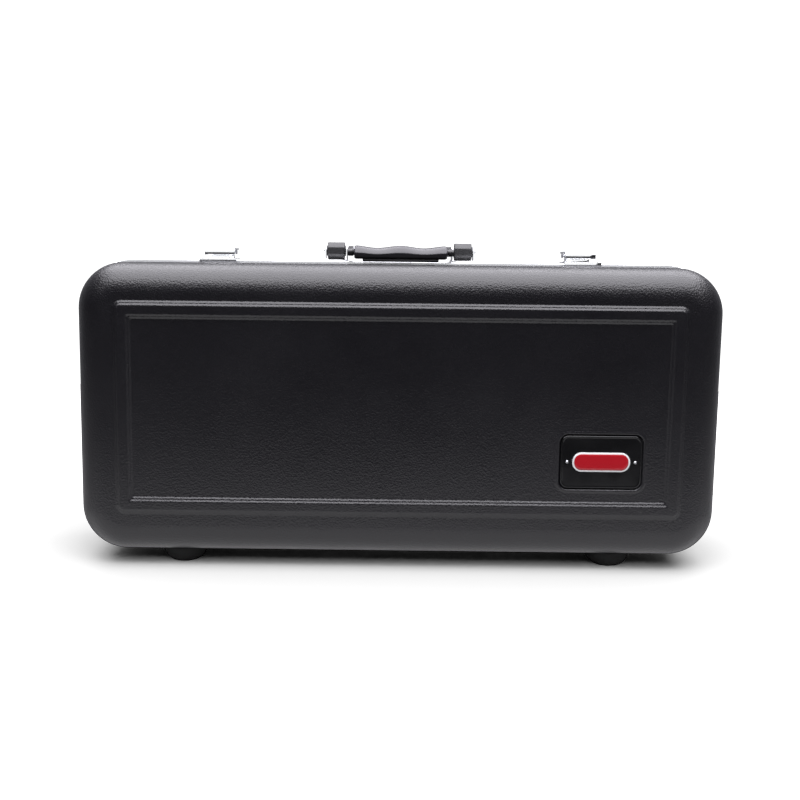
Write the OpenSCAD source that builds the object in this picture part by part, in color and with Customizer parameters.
// Trumpet case: two moulded shells that close on aluminium valances.
// It stands on its long hinge side with the lid at -Y, the base at +Y and the
// shells parting on the plane Y = 0. Z = 0 is the plane that the feet rest on.

/* [Shells] */
// Width of the closed case
case_w = 560; // [550:1:620]
// Height of the closed case, without feet and fittings
case_h = 254; // [250:1:300]
// Depth of the lid, from the parting plane to its face
lid_d = 75; // [74:1:95]
// Depth of the base, from the parting plane to its back
base_d = 75; // [74:1:95]
// Thickness of the moulded shells
wall = 3; // [2:0.25:4]
// Radius of the outline's four corners
corner_r = 40; // [34:1:60]
// Rounding between a face and its sides
edge_r = 22; // [14:1:28]

/* [Raised frame] */
// Distance from the outline to the raised frame
frame_margin = 37; // [34:0.5:44]
// Width of the raised frame
frame_band = 11; // [8:1:14]
// Height of the raised frame above the face
frame_step = 2.5; // [1.5:0.5:4]
// Outer corner radius of the raised frame
frame_r = 5; // [2:1:10]
// Height of the raised frame's middle above the case's middle
frame_lift = 2.3; // [0:0.1:4]

/* [Badge] */
// Width of the badge plate
badge_w = 70; // [50:1:80]
// Height of the badge plate
badge_h = 46; // [30:1:52]
// Corner radius of the badge plate
badge_r = 6.5; // [4:0.5:9]
// Thickness of the badge plate
badge_t = 1.5; // [1:0.1:2]
// Middle of the badge, to the right of the case's middle
badge_x = 175; // [150:1:180]
// Middle of the badge, below the case's middle
badge_drop = 40; // [30:1:41]
// Depth of the pocket that the badge lies in
pocket_t = 1.2; // [0.6:0.1:1.6]
// Gap between the badge and the side of its pocket
pocket_gap = 1.3; // [0.5:0.1:2]
// Width of the enamel bar on the badge
bar_w = 50; // [30:1:54]
// Height of the enamel bar on the badge
bar_h = 17; // [8:1:20]
// Thickness of the enamel bar
bar_t = 0.6; // [0.3:0.1:1]

/* [Valances] */
// How far the valance stands out from the shell
val_proud = 2.2; // [1.5:0.1:3]
// Width of the valance on each half
val_w = 14; // [12:1:16]
// Thickness of the valance's inner leg
val_leg = 1.5; // [1:0.1:2]
// Thickness of the valance's web at the parting plane
val_web = 4; // [3.5:0.1:5]
// Gap between the two valances
parting_gap = 0.3; // [0.2:0.1:0.6]
// Height of the tongue on the base valance
tongue_h = 2; // [1:0.1:2.2]
// Thickness of the tongue
tongue_t = 2; // [1.2:0.1:2.4]
// Gap round the tongue in its groove
tongue_gap = 0.6; // [0.5:0.1:0.8]
// Gap between a shell and the legs of its valance
rim_gap = 0.1; // [0.05:0.05:0.2]

/* [Feet] */
// Diameter of a foot
foot_d = 38; // [30:1:40]
// Height of a foot
foot_h = 14; // [12:0.5:18]
// Height of the straight collar at the top of a foot
foot_collar = 3; // [2:0.5:4]
// Distance of the feet from the middle, along the case
foot_x = 192; // [150:1:215]
// Distance of the feet from the parting plane
foot_y = 34; // [33:0.5:36]
// Diameter of a foot's screw
screw_d = 4; // [3:0.5:5]
// Diameter of the head of a foot's screw
screw_head_d = 7.4; // [6:0.2:8]

/* [Hinges] */
// Places of the hinges along the case
hinge_places = [-205, 0, 205];
// Width of a hinge
hinge_w = 60; // [40:1:70]
// Thickness of a hinge leaf
leaf_t = 1.5; // [1:0.1:2]
// Radius of a hinge knuckle
knuckle_r = 4; // [3.5:0.1:5]
// Diameter of a hinge pin
hinge_pin_d = 3.6; // [3:0.1:4]

/* [Handle] */
// Distance of a handle barrel from the case's middle
barrel_x = 58; // [54:1:70]
// Width of a handle barrel
barrel_w = 15.6; // [12:0.2:18]
// Diameter of an eight-sided handle barrel, across its corners
barrel_d = 16.8; // [14:0.2:17]
// Height of the handle's pivot above the case
pivot_up = 11.5; // [10.5:0.5:14]
// Distance of the handle's pivot behind the parting plane
pivot_y = 10; // [9.5:0.5:12]
// Thickness of a bracket ear
ear_t = 1.4; // [1:0.1:2]
// Gap between a barrel and a bracket ear
ear_gap = 1.3; // [0.5:0.1:1.5]
// Diameter of the handle's pivot pins
handle_pin_d = 5; // [4:0.1:6]
// Length of the grip
grip_l = 82; // [70:1:84]
// Depth of the grip, across the case
grip_w = 24; // [20:1:26]
// Thickness of the grip
grip_t = 12; // [10:0.5:13]
// Length of the finger pad under the grip
pad_l = 67; // [50:1:70]
// Thickness of the finger pad under the grip
pad_t = 2.4; // [1.5:0.1:3]
// Reach of the handle, from its pivot to the grip's middle
reach = 38; // [36:1:42]
// Height of the folded handle above the case
fold_gap = 2.2; // [0.5:0.1:3]

/* [Latches] */
// Distance of a latch from the case's middle
latch_x = 162; // [140:1:190]
// Width of the hook plate
hook_w = 27; // [25:1:32]
// Width of the catch on the lid
catch_w = 33; // [28:1:38]
// Width of the latch lever
lever_w = 16; // [14:1:18]
// Length of the lever beyond its pivot
lever_l = 27; // [24:1:30]
// Distance of the lever's pivot behind the parting plane
lever_y = 11; // [11:0.5:13]
// Height of the lever's pivot above the case
lever_up = 7; // [7:0.25:8]
// Thickness of the latch's sheet metal
sheet_t = 1.4; // [1.2:0.1:1.6]
// Diameter of the latch pins
latch_pin_d = 2.4; // [2:0.1:2.6]
// Clearance between the open hook and the catch's ridge
hook_gap = 0.3; // [0.3:0.1:0.5]

/* [Padding] */
// Thickness of the plush lining
lining_t = 2; // [1:0.5:3]
// Depth of the lining's surface below the parting plane
lining_drop = 2; // [1:0.5:4]
// Gap between the padding and the inside of the valances
foam_gap = 0.5; // [0.3:0.1:1]
// Radius of the space for the trumpet's bell
bell_r = 63; // [61:0.5:64]
// Length of the trumpet that the case holds
trumpet_l = 484; // [478:1:490]
// Height of the trumpet's bell above the case's middle
bell_up = 46; // [44:0.5:47]
// Half depth of the space for the trumpet's tubes
tube_deep = 32; // [28:1:36]
// Depth of the accessory pockets
pocket_deep = 55; // [40:1:60]
// Diameter of a mouthpiece hole
mouthpiece_d = 27; // [24:0.5:28]
// Depth of a mouthpiece hole
mouthpiece_deep = 50; // [40:1:58]

/* [Rivets] */
// Diameter of a rivet's head
rivet_head_d = 5; // [4:0.2:6]
// Height of a rivet's head
rivet_head_h = 1.2; // [0.8:0.1:1.6]
// Diameter of a rivet's shank
rivet_d = 3; // [2.4:0.1:3.2]

/* [Hidden] */
$fn = 64;

// Small clearance of a pin in its bore, on the diameter
run_gap = 0.1;
// Overshoot of a cut past the surface it goes through
past = 1;
mid_z = foot_h + case_h / 2;
top_z = foot_h + case_h;
half_gap = parting_gap / 2;

// Sheet thicknesses over a fitting's seat, measured up from the shell's top
seat_up = val_proud;
plate_up = seat_up + sheet_t;

// Rivets go through the plate, the valance and the shell
rivet_deep = wall + rim_gap + val_leg;
rivet_bore_d = rivet_d + run_gap;
// A plate starts short of the parting plane and steps down behind the valance
plate_edge_y = half_gap + 1;
plate_step_y = half_gap + val_w + 0.2;

// Hinge axis, below the bottom of the shells
knuckle_gap = 0.3;
hinge_drop = val_proud + knuckle_gap + knuckle_r;
hinge_z = foot_h - hinge_drop;
leaf_clear = sqrt(pow(hinge_drop - val_proud, 2) - pow(hinge_drop - val_proud - leaf_t, 2)) + 1;
knuckle_count = 5;
knuckle_l = hinge_w / knuckle_count;
knuckle_side_gap = 0.15;
hinge_rivet_x = hinge_w / 3;
hinge_rivet_y = (leaf_clear + val_w) / 2;

// Handle: ears stand on both sides of each barrel
ear_in = barrel_x - barrel_w / 2 - ear_gap - ear_t;
ear_out = barrel_x + barrel_w / 2 + ear_gap;
ear_r = 7;
bracket_back = 31;
bracket_rivet_y = 26;
bracket_rivet_dx = 8;
eye_t = 4.6;
eye_r = 4.6;
eye_in = ear_in - 0.5 - eye_t;
rod_d = 6;
link_d = 8;
grip_rod_d = 5.4;
grip_y = pivot_y - reach;
grip_top = fold_gap + pad_t + grip_t;
grip_mid = fold_gap + pad_t + grip_t / 2;
grip_round = grip_t / 2 - 0.5;
pad_w = grip_w - 6;
pad_r = 1;
handle_pin_head = 1.2;
handle_pin_head_d = handle_pin_d + 2.4;

// Latch: the hook's pin sits on the lever, ahead of the lever's own pin
bail_dy = 7;
bail_dz = 2.5;
bail_y = lever_y + bail_dy;
bail_up = lever_up + bail_dz;
latch_back = lever_y + 20;
latch_rivet_y = latch_back - 4;
cheek_gap = 0.3;
cheek_r = 3.6;
lever_eye_r = 3.1;
bail_eye_r = 2.4;
lug_t = 1.6;
lug_in = lever_w / 2 + cheek_gap + sheet_t + 0.4;
ridge_y = -lever_y - 2;
ridge_h = 2.8;
ridge_up = plate_up + ridge_h;
ridge_w = lever_w;
hook_y = ridge_y - 0.7;
hook_low = ridge_up + hook_gap;
strap_low = lever_up + cheek_r + 0.6;
strap_top = strap_low + 1.6;
hook_round = 3;
hook_slot_front = -4;
hook_slot_l = bail_y - hook_slot_front;
lug_l = 8;
lever_neck_r = 1.5;
lever_neck_y = lever_y + lever_l - 5;
lever_neck_up = bail_up + 0.6;
lever_tip_r = 1;
lever_tip_y = lever_y + lever_l - lever_tip_r;
lever_tip_up = bail_up + 2.6;
catch_front = -27;
catch_rivet_y = -21.5;
catch_rivet_dx = catch_w / 2 - 5;

// Padding outline, inside the valance's inner leg
foam_inset = wall + rim_gap + val_leg + foam_gap;
foam_r = corner_r - foam_inset;
foam_edge_r = min(edge_r - wall, foam_r - 1);
lining_z = half_gap + lining_drop;
foam_z = lining_z + lining_t;

// Trumpet space: the bell's rim is at the left and the mouthpiece receiver at the right
rim_x = -trumpet_l / 2 - 20;
receiver_x = rim_x + trumpet_l;
bell_flare = 34;
bell_len = 150;
bell_throat_r = 14;
bell_steps = 10;
wrap_left = -165;
wrap_right = 155;
wrap_low = -24;
wrap_high = 70;
valve_left = -20;
valve_right = 50;
valve_low = -66;
valve_high = 112;
receiver_h = 32;
receiver_deep = 16;
pocket_low = -112;
pocket_left = [-258, -36];
pocket_left_high = -32;
pocket_right = [66, 258];
pocket_right_high = -38;
pocket_r = 8;
mouthpiece_places = [[180, 92], [222, 92]];

// The foam is glued up from blocks. Their joints follow the edges of the room that each space keeps
// clear, so that no block reaches over a space. A strip is [left, right, joints up it].
room = 3;
glue_gap = 0.1;
far = case_w;
rim_room = [rim_x + 1, 34];
flare_room = [rim_x + 16, 18];
throat_room = [rim_x + 50, 11];
hole_room = mouthpiece_d / 3;
wrap_room = [wrap_left + room, wrap_right - room];
valve_room = [valve_left + room, valve_right - room];
left_room = [pocket_left[0] + room, pocket_left[1] - room];
right_room = [pocket_right[0] + room, pocket_right[1] - room];
middle_joint = wrap_low + room;
hole_joints = [mouthpiece_places[0][1] - hole_room, mouthpiece_places[0][1] + hole_room];
function around(half) = [bell_up - half, bell_up + half];
receiver_joints = around(receiver_h / 2 - room);
trumpet_strips = [
    [-far, rim_room[0], []],
    [rim_room[0], flare_room[0], around(rim_room[1])],
    [flare_room[0], throat_room[0], around(flare_room[1])],
    [throat_room[0], wrap_room[0], around(throat_room[1])],
    [wrap_room[0], valve_room[0], [wrap_high - room]],
    [valve_room[0], valve_room[1], [wrap_high - room, valve_high - room]],
    [valve_room[1], wrap_room[1], [wrap_high - room]]
];
lid_upper_strips = concat(trumpet_strips, [
    [wrap_room[1], receiver_x - room, receiver_joints],
    [receiver_x - room, far, []]
]);
lid_lower_strips = [
    [-far, valve_room[0], []],
    [valve_room[0], valve_room[1], [valve_low + room]],
    [valve_room[1], far, []]
];
base_upper_strips = concat(trumpet_strips, [
    [wrap_room[1], mouthpiece_places[0][0] - hole_room, receiver_joints],
    [mouthpiece_places[0][0] - hole_room, mouthpiece_places[0][0] + hole_room,
     concat(receiver_joints, hole_joints)],
    [mouthpiece_places[0][0] + hole_room, mouthpiece_places[1][0] - hole_room, receiver_joints],
    [mouthpiece_places[1][0] - hole_room, receiver_x - room, concat(receiver_joints, hole_joints)],
    [receiver_x - room, mouthpiece_places[1][0] + hole_room, hole_joints],
    [mouthpiece_places[1][0] + hole_room, far, []]
]);
base_lower_strips = [
    [-far, left_room[0], []],
    [left_room[0], left_room[1], [pocket_low + room, pocket_left_high - room]],
    [left_room[1], valve_room[0], []],
    [valve_room[0], valve_room[1], [valve_low + room]],
    [valve_room[1], right_room[0], []],
    [right_room[0], right_room[1], [pocket_low + room, pocket_right_high - room]],
    [right_room[1], far, []]
];

// Both halves are drawn lying on the parting plane with depth along +Z

module on_lid() {
    translate([0, 0, mid_z])
        rotate([90, 0, 0])
            children();
}

module on_base() {
    mirror([0, 1, 0])
        on_lid()
            children();
}

// A flat outline along the case's width: its X becomes Y and its Y becomes Z
module along_x(length) {
    rotate([90, 0, 90])
        linear_extrude(length, center = true)
            children();
}

module rounded(w, h, r) {
    square([w - 2 * r, h], center = true);
    square([w, h - 2 * r], center = true);
    for (x = [-1, 1], y = [-1, 1])
        translate([x * (w / 2 - r), y * (h / 2 - r)])
            circle(r);
}

module rounded_span(x0, x1, y0, y1, r) {
    translate([(x0 + x1) / 2, (y0 + y1) / 2])
        rounded(x1 - x0, y1 - y0, r);
}

// Sweeps a section round the outline; the section's X runs outwards from the
// centres of the outline's corners, and its Y is depth
module round_outline(w, h, r) {
    for (k = [0:3]) {
        out = (k % 2 == 0 ? w : h) / 2 - r;
        side = (k % 2 == 0 ? h : w) / 2 - r;
        rotate([0, 0, 90 * k]) {
            translate([out, 0, 0])
                rotate([90, 0, 0])
                    linear_extrude(2 * side, center = true)
                        children();
            translate([out, side, 0])
                rotate_extrude(angle = 90)
                    children();
        }
    }
}

// Section of a half with a rounded edge between its side and its face
module edge_section(r, z0, d, edge) {
    translate([0, z0])
        square([r, d - edge - z0]);
    translate([0, d - edge - past / 10])
        square([r - edge, edge + past / 10]);
    intersection() {
        translate([r - edge, d - edge])
            circle(edge);
        translate([r - edge - past / 10, d - edge - past / 10])
            square([edge + past, edge + past]);
    }
}

module shell_section(r, z0, d, edge, t) {
    difference() {
        edge_section(r, z0, d, edge);
        translate([-past, 0])
            square([past, d]);
        translate([0, -past])
            square([r - t, d - edge + past]);
        translate([0, d - edge - past])
            square([r - edge, edge - t + past]);
        translate([r - edge, d - edge])
            circle(edge - t);
    }
}

module shell_half(d) {
    round_outline(case_w, case_h, corner_r)
        shell_section(corner_r, half_gap + val_web, d, edge_r, wall);
    translate([0, 0, d - wall / 2])
        cube([case_w - 2 * corner_r, case_h - 2 * corner_r, wall], center = true);
    translate([0, frame_lift, d])
        linear_extrude(frame_step)
            difference() {
                frame_outline(0);
                frame_outline(frame_band);
            }
}

module frame_outline(inset) {
    rounded(case_w - 2 * (frame_margin + inset), case_h - 2 * (frame_margin + inset),
            max(frame_r - inset, 1.5));
}

// Channel that grips the shell's rim, with its web on the parting plane
module valance_section() {
    difference() {
        translate([corner_r - wall - rim_gap - val_leg, half_gap])
            square([val_leg + rim_gap + wall + val_proud, val_w]);
        translate([corner_r - wall - rim_gap, half_gap + val_web])
            square([wall + rim_gap, val_w]);
    }
}

module tongue_section(gap) {
    translate([corner_r - wall / 2 - tongue_t / 2 - gap, -half_gap - tongue_h - gap])
        square([tongue_t + 2 * gap, tongue_h + gap + parting_gap]);
}

module groove_section() {
    translate([corner_r - wall / 2 - tongue_t / 2 - tongue_gap, -past])
        square([tongue_t + 2 * tongue_gap, half_gap + tongue_h + tongue_gap + past]);
}

// Holes for the rivets of the fittings on the top and for the hinges below

module drill(points, z, d, deep) {
    for (p = points)
        translate([p[0], p[1], z])
            cylinder(h = 2 * deep, d = d, center = true);
}

bracket_rivets = [for (s = [-1, 1], dx = [-1, 1])
    [s * barrel_x + dx * bracket_rivet_dx, bracket_rivet_y]];
latch_rivets = [for (s = [-1, 1], dx = [-1, 1])
    [s * latch_x + dx * (lever_w / 2 - 2), latch_rivet_y]];
catch_rivets = [for (s = [-1, 1], dx = [-1, 1])
    [s * latch_x + dx * catch_rivet_dx, catch_rivet_y]];
hinge_rivets = [for (x = hinge_places, dx = [-1, 1]) [x + dx * hinge_rivet_x, hinge_rivet_y]];
feet_places = [[-foot_x, foot_y], [foot_x, foot_y]];

bore_deep = rivet_deep + 4;
foot_bore_deep = wall + 1;

module base_drilling() {
    drill(concat(bracket_rivets, latch_rivets), top_z, rivet_bore_d, bore_deep);
    drill(hinge_rivets, foot_h, rivet_bore_d, bore_deep);
    drill(feet_places, foot_h, screw_d + run_gap, foot_bore_deep);
}

module lid_drilling() {
    drill(catch_rivets, top_z, rivet_bore_d, bore_deep);
    mirror([0, 1, 0]) {
        drill(hinge_rivets, foot_h, rivet_bore_d, bore_deep);
        drill(feet_places, foot_h, screw_d + run_gap, foot_bore_deep);
    }
}

// Rivet with a domed head at Z = 0 and its shank below
module rivet(deep) {
    dome_r = (pow(rivet_head_d / 2, 2) + pow(rivet_head_h, 2)) / (2 * rivet_head_h);
    rotate_extrude($fn = 32) {
        intersection() {
            translate([0, rivet_head_h - dome_r])
                circle(dome_r, $fn = 96);
            square([rivet_head_d / 2, rivet_head_h]);
        }
        translate([0, -deep])
            square([rivet_d / 2, deep]);
    }
}

// Shells

module base_shell() {
    color("#1c1c1f")
        difference() {
            on_base()
                shell_half(base_d);
            base_drilling();
        }
}

module lid_shell() {
    color("#1c1c1f")
        difference() {
            on_lid()
                difference() {
                    shell_half(lid_d);
                    translate([badge_x, -badge_drop, lid_d - pocket_t])
                        linear_extrude(pocket_t + past)
                            rounded(badge_w + 2 * pocket_gap, badge_h + 2 * pocket_gap,
                                    badge_r + pocket_gap);
                    for (s = [-1, 1])
                        translate([badge_x + s * badge_rivet_dx, -badge_drop, lid_d])
                            cylinder(h = 4 * wall, d = badge_rivet_d + run_gap, center = true);
                }
            lid_drilling();
        }
}

// Valances

module base_valance() {
    color("#c9cbd0")
        difference() {
            on_base()
                round_outline(case_w, case_h, corner_r) {
                    valance_section();
                    tongue_section(0);
                }
            base_drilling();
        }
}

module lid_valance() {
    color("#c9cbd0")
        difference() {
            on_lid()
                round_outline(case_w, case_h, corner_r)
                    difference() {
                        valance_section();
                        groove_section();
                    }
            lid_drilling();
        }
}

// Padding: the trumpet lies on its side, half in the base and half in the lid

function bell_radius(x) =
    bell_throat_r + (bell_r - bell_throat_r) * exp(-x / bell_flare);

module bell_space(grow) {
    translate([rim_x, bell_up, 0])
        rotate([0, 90, 0])
            rotate_extrude()
                polygon([
                    [0, -grow],
                    [bell_r + grow, -grow],
                    for (k = [0:bell_steps])
                        [bell_radius(k * bell_len / bell_steps) + grow,
                         k * bell_len / bell_steps + 4],
                    [0, bell_len + 4]
                ]);
}

module space(x0, x1, y0, y1, deep, grow) {
    translate([0, 0, -past])
        linear_extrude(deep + grow + past)
            rounded_span(x0 - grow, x1 + grow, y0 - grow, y1 + grow, pocket_r + grow);
}

module trumpet_space(grow) {
    bell_space(grow);
    space(wrap_left, wrap_right, wrap_low, wrap_high, tube_deep, grow);
    space(valve_left, valve_right, valve_low, valve_high, tube_deep, grow);
    space(wrap_right - 2 * pocket_r, receiver_x, bell_up - receiver_h / 2,
          bell_up + receiver_h / 2, receiver_deep, grow);
}

module base_spaces(grow) {
    trumpet_space(grow);
    space(pocket_left[0], pocket_left[1], pocket_low, pocket_left_high, pocket_deep, grow);
    space(pocket_right[0], pocket_right[1], pocket_low, pocket_right_high, pocket_deep, grow);
    for (p = mouthpiece_places)
        translate([p[0], p[1], -past])
            cylinder(h = mouthpiece_deep + grow + past, d = mouthpiece_d + 2 * grow);
}

module foam_block(d) {
    w = case_w - 2 * foam_inset;
    h = case_h - 2 * foam_inset;
    round_outline(w, h, foam_r)
        intersection() {
            edge_section(foam_r, foam_z, d - wall, foam_edge_r);
            square([foam_r + past, d]);
        }
    translate([0, 0, (foam_z + d - wall) / 2])
        cube([w - 2 * foam_r, h - 2 * foam_r, d - wall - foam_z], center = true);
}

module glue_lines(strips, low, high, d) {
    for (strip = strips) {
        translate([strip[1] - glue_gap / 2, low, 0])
            cube([glue_gap, high - low, d]);
        for (up = strip[2])
            translate([strip[0], up - glue_gap / 2, 0])
                cube([strip[1] - strip[0], glue_gap, d]);
    }
}

module joints_in_foam(lower, upper, d) {
    glue_lines(lower, -far, middle_joint, d);
    glue_lines(upper, middle_joint, far, d);
    translate([-far, middle_joint - glue_gap / 2, 0])
        cube([2 * far, glue_gap, d]);
}

module lining_sheet() {
    translate([0, 0, lining_z])
        linear_extrude(lining_t)
            rounded(case_w - 2 * foam_inset, case_h - 2 * foam_inset, foam_r);
}

module below_lining(d) {
    translate([0, 0, lining_z + d])
        cube([case_w, case_h, 2 * d], center = true);
}

module base_foam() {
    color("#e8e8e4")
        on_base()
            difference() {
                foam_block(base_d);
                base_spaces(lining_t);
                joints_in_foam(base_lower_strips, base_upper_strips, base_d);
            }
}

module lid_foam() {
    color("#e8e8e4")
        on_lid()
            difference() {
                foam_block(lid_d);
                trumpet_space(lining_t);
                joints_in_foam(lid_lower_strips, lid_upper_strips, lid_d);
            }
}

module base_lining() {
    color("#2a1a3c")
        on_base()
            difference() {
                union() {
                    lining_sheet();
                    intersection() {
                        base_spaces(lining_t);
                        below_lining(base_d);
                    }
                }
                base_spaces(0);
            }
}

module lid_lining() {
    color("#2a1a3c")
        on_lid()
            difference() {
                union() {
                    lining_sheet();
                    intersection() {
                        trumpet_space(lining_t);
                        below_lining(lid_d);
                    }
                }
                trumpet_space(0);
            }
}

// Feet: domed rubber with a flat ring below and a screw up the middle

foot_round = foot_h - foot_collar;
screw_recess = foot_h - 4;
screw_head_h = 2.4;

module foot() {
    difference() {
        rotate_extrude() {
            translate([0, foot_round])
                square([foot_d / 2, foot_collar]);
            square([foot_d / 2 - foot_round, foot_h]);
            intersection() {
                translate([foot_d / 2 - foot_round, foot_round])
                    circle(foot_round);
                square([foot_d, foot_h - foot_collar]);
            }
        }
        translate([0, 0, -past])
            cylinder(h = screw_recess + past, d = screw_head_d + 0.6);
        cylinder(h = 2 * foot_h, d = screw_d + run_gap);
    }
}

module foot_screw() {
    translate([0, 0, screw_recess - screw_head_h])
        difference() {
            cylinder(h = screw_head_h, d = screw_head_d);
            cube([screw_head_d - 2, 1.2, 2], center = true);
            cube([1.2, screw_head_d - 2, 2], center = true);
        }
    translate([0, 0, screw_recess])
        cylinder(h = foot_h - screw_recess + wall, d = screw_d);
}

module at_feet() {
    for (p = feet_places)
        translate([p[0], p[1], 0])
            children();
}

module base_feet() {
    color("#141414")
        at_feet()
            foot();
}

module lid_feet() {
    color("#141414")
        mirror([0, 1, 0])
            at_feet()
                foot();
}

module base_foot_screws() {
    color("#8a8c90")
        at_feet()
            foot_screw();
}

module lid_foot_screws() {
    color("#8a8c90")
        mirror([0, 1, 0])
            at_feet()
                foot_screw();
}

// Hinges: five knuckles each, three on the base and two on the lid

module knuckle(k) {
    x0 = -hinge_w / 2 + k * knuckle_l + (k == 0 ? 0 : knuckle_side_gap);
    x1 = -hinge_w / 2 + (k + 1) * knuckle_l - (k == knuckle_count - 1 ? 0 : knuckle_side_gap);
    translate([(x0 + x1) / 2, 0, 0])
        along_x(x1 - x0)
            difference() {
                union() {
                    circle(knuckle_r);
                    translate([half_gap, hinge_drop - val_proud - leaf_t])
                        square([leaf_clear + past, leaf_t]);
                    translate([half_gap, 0])
                        square([knuckle_r - half_gap, hinge_drop - val_proud - leaf_t]);
                }
                circle(d = hinge_pin_d + run_gap);
            }
}

module hinge_leaf(knuckles) {
    difference() {
        union() {
            translate([-hinge_w / 2, leaf_clear, hinge_drop - val_proud - leaf_t])
                cube([hinge_w, val_w - leaf_clear, leaf_t]);
            for (k = knuckles)
                knuckle(k);
        }
        for (dx = [-1, 1])
            translate([dx * hinge_rivet_x, hinge_rivet_y, hinge_drop - val_proud])
                cylinder(h = 4 * leaf_t, d = rivet_bore_d, center = true);
    }
}

module at_hinges() {
    for (x = hinge_places)
        translate([x, 0, hinge_z])
            children();
}

module hinge_leaves_base() {
    color("#b8babf")
        at_hinges()
            hinge_leaf([0, 2, 4]);
}

module hinge_leaves_lid() {
    color("#b8babf")
        at_hinges()
            mirror([0, 1, 0])
                hinge_leaf([1, 3]);
}

module hinge_pins() {
    color("#9a9ca1")
        at_hinges()
            along_x(hinge_w)
                circle(d = hinge_pin_d);
}

// Handle fittings on the base

module bracket_plate() {
    w = ear_out + ear_t - ear_in;
    mid = (ear_in + ear_out + ear_t) / 2;
    translate([mid, 0, 0])
        along_x(w) {
            translate([plate_edge_y, seat_up])
                square([bracket_back - plate_edge_y, ear_t]);
            translate([plate_step_y, 0])
                square([bracket_back - plate_step_y, seat_up + ear_t]);
        }
    for (x = [ear_in, ear_out])
        translate([x + ear_t / 2, 0, 0])
            along_x(ear_t)
                difference() {
                    union() {
                        translate([pivot_y, pivot_up])
                            circle(ear_r);
                        translate([pivot_y - ear_r, seat_up])
                            square([2 * ear_r, pivot_up - seat_up]);
                    }
                    translate([pivot_y, pivot_up])
                        circle(d = handle_pin_d + run_gap);
                }
}

module handle_brackets() {
    color("#d4d6da")
        difference() {
            translate([0, 0, top_z]) {
                bracket_plate();
                mirror([1, 0, 0])
                    bracket_plate();
            }
            drill(bracket_rivets, top_z, rivet_bore_d, bore_deep);
        }
}

module handle_barrels() {
    color("#2b2b2e")
        for (s = [-1, 1])
            translate([s * barrel_x, 0, top_z])
                along_x(barrel_w)
                    translate([pivot_y, pivot_up])
                        difference() {
                            polygon([for (k = [0:7]) barrel_d / 2 * [cos(45 * k + 22.5), sin(45 * k + 22.5)]]);
                            circle(d = handle_pin_d + run_gap);
                        }
}

module handle_pins() {
    color("#9a9ca1")
        for (s = [-1, 1])
            translate([0, pivot_y, top_z + pivot_up])
                mirror([s < 0 ? 1 : 0, 0, 0]) {
                    translate([(eye_in + ear_out + ear_t) / 2, 0, 0])
                        rotate([0, 90, 0])
                            cylinder(h = ear_out + ear_t - eye_in, d = handle_pin_d, center = true);
                    for (x = [eye_in - handle_pin_head, ear_out + ear_t])
                        translate([x, 0, 0])
                            rotate([0, 90, 0])
                                cylinder(h = handle_pin_head, d = handle_pin_head_d);
                }
}

// Handle: a steel frame with an eye on each pin, moulded into a rubber grip

module handle_frame() {
    color("#232325") {
        for (s = [-1, 1])
            translate([s * (eye_in + eye_t / 2), 0, top_z])
                along_x(eye_t)
                    difference() {
                        union() {
                            translate([pivot_y, pivot_up])
                                circle(eye_r);
                            hull() {
                                translate([pivot_y, pivot_up])
                                    circle(d = link_d);
                                translate([grip_y, grip_mid])
                                    circle(d = rod_d);
                            }
                        }
                        translate([pivot_y, pivot_up])
                            circle(d = handle_pin_d + run_gap);
                    }
        translate([0, grip_y, top_z + grip_mid])
            rotate([0, 90, 0])
                cylinder(h = 2 * (eye_in + 1), d = grip_rod_d, center = true);
    }
}

module handle_grip() {
    color("#3a3a3e")
        difference() {
            union() {
                translate([0, grip_y, top_z + grip_mid])
                    along_x(grip_l)
                        rounded(grip_w, grip_t, grip_round);
                translate([0, grip_y, top_z + fold_gap + (pad_t + grip_t / 2) / 2])
                    along_x(pad_l)
                        rounded(pad_w, pad_t + grip_t / 2, pad_r);
            }
            translate([0, grip_y, top_z + grip_mid])
                rotate([0, 90, 0])
                    cylinder(h = grip_l + 2 * past, d = grip_rod_d, center = true);
        }
}

// Latches: a riveted plate and its lever on the base, and a catch on the lid

module latch_plate() {
    along_x(lever_w + 2 * (cheek_gap + sheet_t)) {
        translate([plate_edge_y, seat_up])
            square([latch_back - plate_edge_y, sheet_t]);
        translate([plate_step_y, 0])
            square([latch_back - plate_step_y, plate_up]);
    }
    for (s = [-1, 1])
        translate([s * (lever_w / 2 + cheek_gap + sheet_t / 2), 0, 0])
            along_x(sheet_t)
                difference() {
                    union() {
                        translate([lever_y, lever_up])
                            circle(cheek_r);
                        translate([lever_y - cheek_r, seat_up])
                            square([2 * cheek_r, lever_up - seat_up]);
                    }
                    translate([lever_y, lever_up])
                        circle(d = latch_pin_d + run_gap);
                }
}

module latch_plates() {
    color("#d4d6da")
        difference() {
            for (s = [-1, 1])
                translate([s * latch_x, 0, top_z])
                    latch_plate();
            drill(latch_rivets, top_z, rivet_bore_d, bore_deep);
        }
}

module lever_pins() {
    color("#9a9ca1")
        for (s = [-1, 1])
            translate([s * latch_x, lever_y, top_z + lever_up])
                rotate([0, 90, 0])
                    cylinder(h = lever_w + 2 * (cheek_gap + sheet_t), d = latch_pin_d, center = true);
}

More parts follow.
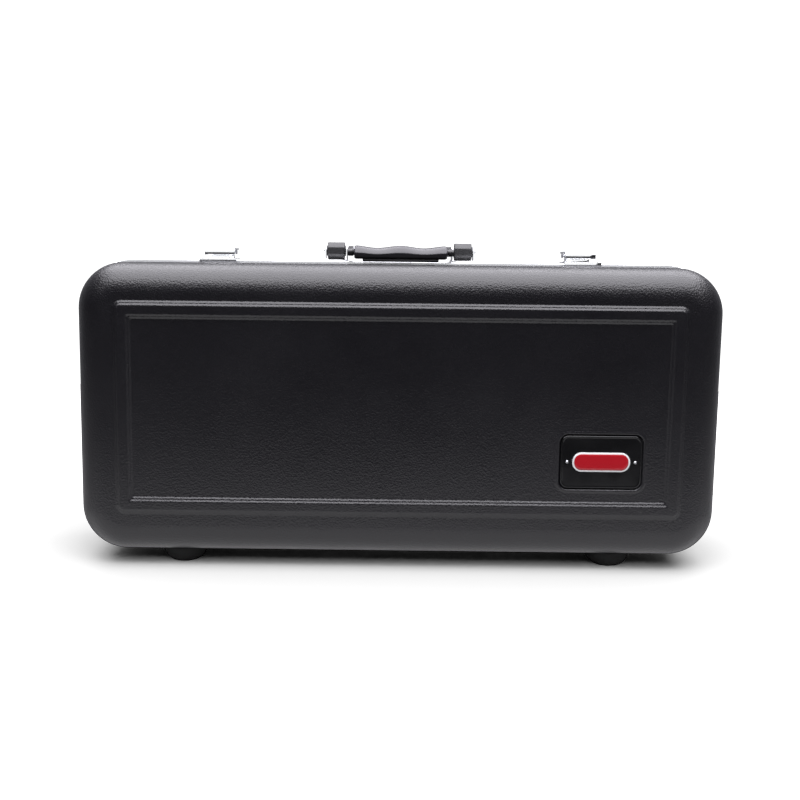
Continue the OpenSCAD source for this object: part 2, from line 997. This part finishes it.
module latch_lever() {
    color("#e2e4e8")
        along_x(lever_w)
            difference() {
                union() {
                    hull() {
                        translate([lever_y, lever_up])
                            circle(lever_eye_r);
                        translate([bail_y, bail_up])
                            circle(bail_eye_r);
                    }
                    hull() {
                        translate([bail_y, bail_up])
                            circle(bail_eye_r);
                        translate([lever_neck_y, lever_neck_up])
                            circle(lever_neck_r);
                    }
                    hull() {
                        translate([lever_neck_y, lever_neck_up])
                            circle(lever_neck_r);
                        translate([lever_tip_y, lever_tip_up])
                            circle(lever_tip_r);
                    }
                }
                translate([lever_y, lever_up])
                    circle(d = latch_pin_d + run_gap);
                translate([bail_y, bail_up])
                    circle(d = latch_pin_d + run_gap);
            }
}

module bail_pin() {
    color("#9a9ca1")
        translate([0, bail_y, bail_up])
            rotate([0, 90, 0])
                cylinder(h = 2 * (lug_in + lug_t), d = latch_pin_d, center = true);
}

// Hook plate: two lugs on the pin, open in the middle for the lever, and a
// turned-down front edge that drops behind the catch's ridge
module latch_hook() {
    color("#e2e4e8") {
        difference() {
            along_x(hook_w)
                difference() {
                    union() {
                        translate([hook_y, strap_low])
                            square([bail_y - 3 - hook_y, strap_top - strap_low]);
                        translate([hook_y - sheet_t, hook_low])
                            square([sheet_t, strap_top - hook_round - hook_low]);
                        intersection() {
                            translate([hook_y - sheet_t + hook_round, strap_top - hook_round])
                                circle(hook_round);
                            translate([hook_y - sheet_t, strap_top - hook_round])
                                square([hook_round, hook_round]);
                        }
                    }
                    translate([hook_y, hook_low - past])
                        square([hook_round, strap_top - hook_round - hook_low + past]);
                }
            translate([-lug_in, hook_slot_front, hook_low])
                cube([2 * lug_in, hook_slot_l, strap_top - hook_low + past]);
        }
        for (s = [-1, 1])
            translate([s * (lug_in + lug_t / 2), 0, 0])
                along_x(lug_t)
                    difference() {
                        hull() {
                            translate([bail_y, bail_up])
                                circle(bail_eye_r);
                            translate([bail_y - lug_l, (strap_low + strap_top) / 2])
                                circle((strap_top - strap_low) / 2);
                        }
                        translate([bail_y, bail_up])
                            circle(d = latch_pin_d + run_gap);
                    }
    }
}

module latch_catch() {
    along_x(catch_w) {
        translate([catch_front, seat_up])
            square([-catch_front - plate_edge_y, sheet_t]);
        translate([catch_front, 0])
            square([-catch_front - plate_step_y, plate_up]);
    }
    along_x(ridge_w)
        translate([ridge_y, seat_up])
            square([sheet_t, ridge_up - seat_up]);
}

module latch_catches() {
    color("#d4d6da")
        difference() {
            for (s = [-1, 1])
                translate([s * latch_x, 0, top_z])
                    latch_catch();
            drill(catch_rivets, top_z, rivet_bore_d, bore_deep);
        }
}

module at_left() {
    translate([-latch_x, 0, top_z])
        children();
}

module at_right() {
    translate([latch_x, 0, top_z])
        children();
}

module latch_lever_left() {
    at_left()
        latch_lever();
}

module latch_lever_right() {
    at_right()
        latch_lever();
}

module bail_pin_left() {
    at_left()
        bail_pin();
}

module bail_pin_right() {
    at_right()
        bail_pin();
}

module latch_hook_left() {
    at_left()
        latch_hook();
}

module latch_hook_right() {
    at_right()
        latch_hook();
}

// Rivets

module rivets_at(points, z, deep) {
    for (p = points)
        translate([p[0], p[1], z])
            rivet(deep);
}

module hinge_rivets_at() {
    for (p = hinge_rivets)
        translate([p[0], p[1], foot_h - val_proud - leaf_t])
            mirror([0, 0, 1])
                rivet(leaf_t + val_proud + rivet_deep);
}

module base_rivets() {
    color("#c4c6ca") {
        rivets_at(bracket_rivets, top_z + seat_up + ear_t, seat_up + ear_t + wall);
        rivets_at(latch_rivets, top_z + plate_up, plate_up + wall);
        hinge_rivets_at();
    }
}

module lid_rivets() {
    color("#c4c6ca") {
        rivets_at(catch_rivets, top_z + plate_up, plate_up + wall);
        mirror([0, 1, 0])
            hinge_rivets_at();
    }
}

// Badge: a plain plate in its pocket, with an enamel bar and two rivets

badge_rivet_d = 1.6;
badge_rivet_head_d = 2.8;
badge_rivet_dx = badge_w / 2 - 5.5;
badge_z = lid_d - pocket_t;

module on_badge() {
    on_lid()
        translate([badge_x, -badge_drop, badge_z])
            children();
}

module badge_plate() {
    color("#111113")
        on_badge()
            difference() {
                linear_extrude(badge_t)
                    rounded(badge_w, badge_h, badge_r);
                for (s = [-1, 1])
                    translate([s * badge_rivet_dx, 0, 0])
                        cylinder(h = 4 * badge_t, d = badge_rivet_d + run_gap, center = true);
            }
}

module badge_bar() {
    color("#b01c24")
        on_badge()
            translate([0, 0, badge_t])
                linear_extrude(bar_t)
                    rounded(bar_w, bar_h, bar_h / 2 - 0.5);
}

module badge_rivets() {
    dome_h = 0.9;
    color("#c4c6ca")
        on_badge()
            for (s = [-1, 1])
                translate([s * badge_rivet_dx, 0, badge_t]) {
                    cylinder(h = dome_h / 2, d = badge_rivet_head_d);
                    translate([0, 0, dome_h / 2])
                        cylinder(h = dome_h / 2, d = badge_rivet_head_d - dome_h);
                    translate([0, 0, -badge_t - wall + pocket_t])
                        cylinder(h = badge_t + wall - pocket_t, d = badge_rivet_d);
                }
}

base_shell();
base_valance();
base_foam();
base_lining();
base_feet();
base_foot_screws();
hinge_leaves_base();
hinge_pins();
handle_brackets();
handle_barrels();
handle_pins();
latch_plates();
lever_pins();
base_rivets();
lid_shell();
lid_valance();
lid_foam();
lid_lining();
lid_feet();
lid_foot_screws();
hinge_leaves_lid();
latch_catches();
lid_rivets();
badge_plate();
badge_bar();
badge_rivets();
handle_frame();
handle_grip();
latch_lever_left();
bail_pin_left();
latch_hook_left();
latch_lever_right();
bail_pin_right();
latch_hook_right();
